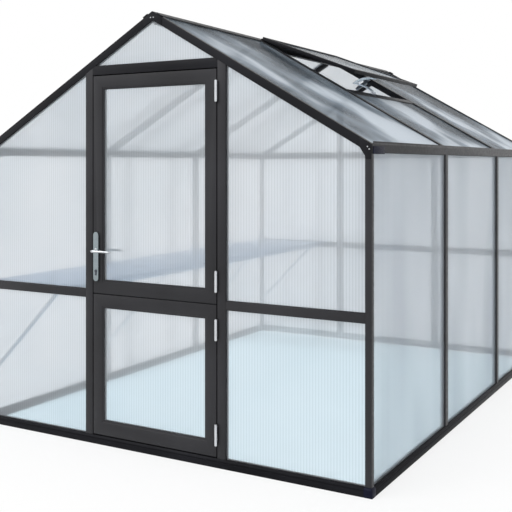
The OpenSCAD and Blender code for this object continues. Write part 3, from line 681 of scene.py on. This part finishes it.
def add_lever():
    """Lever handles on both faces of the upper leaf: a rose, a neck and a grip that tapers."""
    low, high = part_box("door_lever")
    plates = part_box("handle_plates")
    neck_r = (high.z - low.z) / 2
    x, z = low.x + neck_r, (low.z + high.z) / 2
    rose_r, rose_h, rose_sunk = 0.0135, 0.005, 0.001
    # Neck: out from the plate, radius. Grip: X, back towards the door, up, radius.
    neck = ((-0.012, 0.0080), (0.012, 0.0080))
    grip = ((x, 0.022, 0, 0.0078), (x, 0, 0, 0.0082), (x + 0.020, 0, 0, 0.0078),
            (x + 0.055, 0.001, 0.0005, 0.0070), (x + 0.090, 0.003, 0, 0.0062),
            (high.x - 0.004, 0.006, -0.001, 0.0050), (high.x - 0.0005, 0.0065, -0.001, 0.0018))
    bm = bmesh.new()
    for out, face, front in ((-1, plates[0].y, low.y + neck_r), (1, plates[1].y, high.y - neck_r)):
        points = [(x, face + out * off, z) for off, _ in neck]
        points += [(along, front - out * back, z + up) for along, back, up, _ in grip]
        tube(bm, points, [row[-1] for row in neck + grip])
        dome(bm, (x, face - out * rose_sunk, z), (0, out, 0), rose_r, rose_h)
    half, rounding = 0.0055, 0.0006
    block(bm, (x - half, plates[0].y, z - half), (x + half, plates[1].y, z + half), rounding)
    finish_piece("lever_handles", bm, lever_metal, "lever", ["door_lever"])


def add_keyways():
    """Flat dark marks on both faces of the lock: painted shade standing in for a recessed key slot
    and a line under it.
    """
    low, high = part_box("lock_cylinder")
    x = (low.x + high.x) / 2
    # Half width, half depth, foot and top of the slot and of the line under it
    marks = ((0.0012, 0.0003, low.z + 0.018, high.z - 0.004),
             (0.0035, 0.0002, low.z + 0.004, low.z + 0.0055))
    bm = bmesh.new()
    for y in (low.y, high.y):
        for half_x, half_y, foot, top in marks:
            block(bm, (x - half_x, y - half_y, foot), (x + half_x, y + half_y, top))
    finish_piece("keyways", bm, seal, "upper_leaf")


def add_hinge_caps():
    """A domed cap on both ends of each hinge."""
    cap_r, cap_h, sunk = HINGE_R * 0.8, 0.004, 0.0005
    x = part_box("upper_leaf_hinges")[1].x - HINGE_R
    source, bm = merged("frame_hinges"), bmesh.new()
    for group in solids(source):
        points = [v.co for v in {v for f in group for v in f.verts}]
        top, foot = max(p.z for p in points), min(p.z for p in points)
        y = min(p.y for p in points) + HINGE_R
        for z, up in ((top, 1), (foot, -1)):
            dome(bm, (x, y, z - up * sunk), (0, 0, up), cap_r, cap_h)
    source.free()
    finish_piece("hinge_caps", bm, silver, "shell")


def add_shelf_lip():
    """Rolled edge along the front of the shelf, and its seams."""
    low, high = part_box("shelf_deck")
    roll_r, roll_in, roll_up = 0.0035, 0.003, 0.0012
    seam_half, seam_back, seam_front, seam_sunk, seam_up, rounding = (
        0.009, 0.004, 0.006, 0.001, 0.0014, 0.0006)
    bm = bmesh.new()
    tube(bm, [(high.x - roll_in, y, high.z + roll_up) for y in (low.y, high.y)], [roll_r, roll_r])
    for share in (1 / 3, 2 / 3):
        y = low.y + (high.y - low.y) * share
        block(bm, (low.x + seam_back, y - seam_half, high.z - seam_sunk),
              (high.x - seam_front, y + seam_half, high.z + seam_up), rounding)
    finish_piece("shelf_lip", bm, deck, "shell")


def opener_points():
    """Where the vent opener stands, turns, bends and holds the vent."""
    low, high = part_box("vent_opener")
    trim_low, trim_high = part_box("vent_trimmer")
    end_in, hook_down, pivot_up, elbow_up = 0.004, 0.004, 0.0143, 0.008
    x, y = (trim_low.x + trim_high.x) / 2, (low.y + high.y) / 2
    normal = Vector((math.sin(PITCH), 0, math.cos(PITCH)))
    foot = Vector((x, y, roof_at(x)))
    pivot = foot + normal * pivot_up
    elbow = Vector((low.x + end_in, y, roof_at(low.x + end_in) + elbow_up))
    hook = Vector((high.x - end_in, y, high.z - hook_down))
    return normal, foot, pivot, elbow, hook


def bowed_arm(bm, start_at, end_at, bow):
    """An arm that bows up between two points and is thickest in its middle."""
    way = end_at - start_at
    line = way.normalized()
    lift = Vector((-line.z, 0, line.x)) * (-bow if line.x < 0 else bow)
    # Share of its length, share of its bow, radius
    shape = ((0, 0, 0.0045), (0.12, 0.5, 0.0052), (0.4, 1, 0.0055), (0.7, 0.8, 0.0052),
             (1, 0, 0.0045))
    tube(bm, [start_at + way * along + lift * share for along, share, _ in shape],
         [radius for _, _, radius in shape])


def add_opener():
    """Self-acting vent opener: bowed arms, a dark cylinder, a foot and its pins."""
    normal, foot, pivot, elbow, hook = opener_points()
    pin_r, pin_half, head_at, head_r, head_h = 0.0026, 0.024, 0.0205, 0.0052, 0.0035
    ear_at, ear_up, ear_radii = 0.012, 0.018, [0.0045, 0.0040]
    held_at, length, lean = 0.68, 0.104, math.radians(32)
    foot_size, foot_up = (0.026, 0.044, 0.0045), 0.0028
    arms, dark, fittings = bmesh.new(), bmesh.new(), bmesh.new()

    def pin(point):
        """A cross pin through a point."""
        half = Vector((0, pin_half, 0))
        tube(fittings, [point - half, point + half], [pin_r, pin_r])

    for side in (-1, 1):
        for a, b, off, bow in ((pivot, elbow, 0.016, 0.014), (elbow, hook, 0.020, 0.018)):
            out = Vector((0, side * off, 0))
            bowed_arm(arms, a + out, b + out, bow)
    for point in (pivot, elbow, hook):
        pin(point)
        for side in (-1, 1):
            dome(fittings, point + Vector((0, side * head_at, 0)), (0, side, 0), head_r, head_h)
    for side in (-1, 1):
        ear = foot + Vector((0, side * ear_at, 0))
        tube(fittings, [ear, ear + normal * ear_up], ear_radii)

    upper = elbow + (hook - elbow) * held_at
    along = Vector((math.cos(lean), 0, math.sin(lean)))
    lower = upper - along * length
    tube(dark, [lower, lower + along * 0.004, lower + along * 0.05, upper - along * 0.012, upper],
         [0.0075, 0.010, 0.010, 0.010, 0.008])
    tube(fittings, [upper - along * 0.01, upper + along * 0.004], [0.0045, 0.0045])
    pin(upper)
    slab(dark, foot_size, foot + normal * foot_up, turned=PITCH)
    # The arms take the silver painted lighter, as painted light
    finish_piece("opener_arms", arms, painted_lit_silver, "shell", ["vent_opener"])
    finish_piece("opener_cylinder", dark, dark_metal, "shell")
    finish_piece("opener_fittings", fittings, steel, "shell")


add_bolts()
add_ridge_ends()
add_door_seals()
add_lever()
add_keyways()
add_hinge_caps()
add_shelf_lip()
add_opener()

# ---------------------------------------------------------------- stage, light and camera

FLOOR_R = 40.0
# Painted blue light: the floor's colour and glow within the base rails, standing in for light
# through the tinted sheets
PAINTED_BLUE_LIGHT = (0.75, 0.925, 1.0)
PALE_GREY = (0.93, 0.95, 0.96)
WHITE = (1, 1, 1)
# Over what distance the painted blue light ends, and the floor's shadows fade away
PALE = 0.02
FADE = 0.9
# Share of painted pale-blue glow on the floor at the base rails, rising to full white glow outside
INSIDE_PAINTED_GLOW = 0.8
SKY_COLOUR, SKY_LEVEL = (0.97, 0.985, 1, 1), 0.74
SUN_LEVEL, SUN_SPREAD = 1.2, math.radians(30)
SUN_TURN = (math.radians(46), 0, math.radians(-42))
LENS, SENSOR, RISE, REACH = 61.8, 36, -0.178, 200
CAMERA_AT = (2.798, -5.4675, 1.543)
CAMERA_TURN = (math.radians(90), 0, math.radians(29.7))
SHEET_LAYERS = 48


def seen_directly(tree):
    """1 for what the eye, a mirror or glass sees, 0 for what lights the object."""
    path = tree.nodes.new("ShaderNodeLightPath")
    total = path.outputs["Is Camera Ray"]
    for name in ("Is Glossy Ray", "Is Transmission Ray"):
        most = tree.nodes.new("ShaderNodeMath")
        most.operation = "MAXIMUM"
        tree.links.new(total, most.inputs[0])
        tree.links.new(path.outputs[name], most.inputs[1])
        total = most.outputs[0]
    return total


def distance_outside(tree, half_x, half_y):
    """How far a point of the floor is from the object's footprint, as a value socket."""
    place = tree.nodes.new("ShaderNodeTexCoord")
    size = tree.nodes.new("ShaderNodeVectorMath")
    size.operation = "ABSOLUTE"
    past = tree.nodes.new("ShaderNodeVectorMath")
    past.operation = "SUBTRACT"
    past.inputs[1].default_value = (half_x, half_y, 0)
    held = tree.nodes.new("ShaderNodeVectorMath")
    held.operation = "MAXIMUM"
    away = tree.nodes.new("ShaderNodeVectorMath")
    away.operation = "LENGTH"
    tree.links.new(place.outputs["Object"], size.inputs[0])
    tree.links.new(size.outputs["Vector"], past.inputs[0])
    tree.links.new(past.outputs["Vector"], held.inputs[0])
    tree.links.new(held.outputs["Vector"], away.inputs[0])
    return away.outputs["Value"]


def make_floor():
    """A pale floor with painted blue light and a painted pale-blue glow within the base rails, that
    keeps the shadows and fades to white.
    """
    bm = bmesh.new()
    bmesh.ops.create_circle(bm, cap_ends=True, segments=96, radius=FLOOR_R)
    mesh = bpy.data.meshes.new("floor")
    bm.to_mesh(mesh)
    bm.free()
    floor = bpy.data.objects.new("floor", mesh)
    bpy.context.scene.collection.objects.link(floor)
    material, tree, matt = start("pale_floor")
    matt.inputs["Roughness"].default_value = 0.9
    matt.inputs["Specular IOR Level"].default_value = 0.1
    white = tree.nodes.new("ShaderNodeEmission")
    mix = tree.nodes.new("ShaderNodeMixShader")
    rail_x, rail_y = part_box("base_right_rail")[1].x, -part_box("base_front_rail")[0].y
    away = distance_outside(tree, rail_x - PALE, rail_y - PALE)
    edge = between(tree, away, 0, 1, 0, PALE)
    # Painted blue light in the floor's colour and in its glow within the base rails
    tree.links.new(shades(tree, edge, [(0.0, PAINTED_BLUE_LIGHT), (1.0, PALE_GREY)]),
                   matt.inputs["Base Color"])
    tree.links.new(shades(tree, edge, [(0.0, PAINTED_BLUE_LIGHT), (1.0, WHITE)]), white.inputs["Color"])
    both = tree.nodes.new("ShaderNodeMath")
    both.operation = "MULTIPLY"
    tree.links.new(between(tree, away, INSIDE_PAINTED_GLOW, 1, 0, FADE), both.inputs[0])
    tree.links.new(seen_directly(tree), both.inputs[1])
    tree.links.new(both.outputs[0], mix.inputs["Fac"])
    tree.links.new(matt.outputs["BSDF"], mix.inputs[1])
    tree.links.new(white.outputs["Emission"], mix.inputs[2])
    tree.links.new(mix.outputs["Shader"], tree.nodes["Material Output"].inputs["Surface"])
    mesh.materials.append(material)


def make_light():
    """An even sky and a broad soft sun."""
    world = bpy.data.worlds.new("studio")
    bpy.context.scene.world = world
    world.use_nodes = True
    tree = world.node_tree
    glow = tree.nodes["Background"]
    glow.inputs["Color"].default_value = SKY_COLOUR
    glow.inputs["Strength"].default_value = SKY_LEVEL
    white = tree.nodes.new("ShaderNodeBackground")
    white.inputs["Color"].default_value = (*WHITE, 1)
    mix = tree.nodes.new("ShaderNodeMixShader")
    tree.links.new(seen_directly(tree), mix.inputs["Fac"])
    tree.links.new(glow.outputs["Background"], mix.inputs[1])
    tree.links.new(white.outputs["Background"], mix.inputs[2])
    tree.links.new(mix.outputs["Shader"], tree.nodes["World Output"].inputs["Surface"])
    lamp = bpy.data.lights.new("soft_sun", "SUN")
    lamp.energy = SUN_LEVEL
    lamp.angle = SUN_SPREAD
    sun = bpy.data.objects.new("soft_sun", lamp)
    sun.rotation_euler = SUN_TURN
    bpy.context.scene.collection.objects.link(sun)


def make_camera():
    """A level camera to the right of the door."""
    data = bpy.data.cameras.new("camera")
    data.lens = LENS
    data.sensor_width = SENSOR
    data.shift_y = RISE
    data.clip_end = REACH
    camera = bpy.data.objects.new("camera", data)
    camera.location = CAMERA_AT
    camera.rotation_euler = CAMERA_TURN
    bpy.context.scene.collection.objects.link(camera)
    bpy.context.scene.camera = camera


make_floor()
make_light()
make_camera()
bpy.context.scene.view_settings.view_transform = "Standard"
bpy.context.scene.cycles.transparent_max_bounces = SHEET_LAYERS
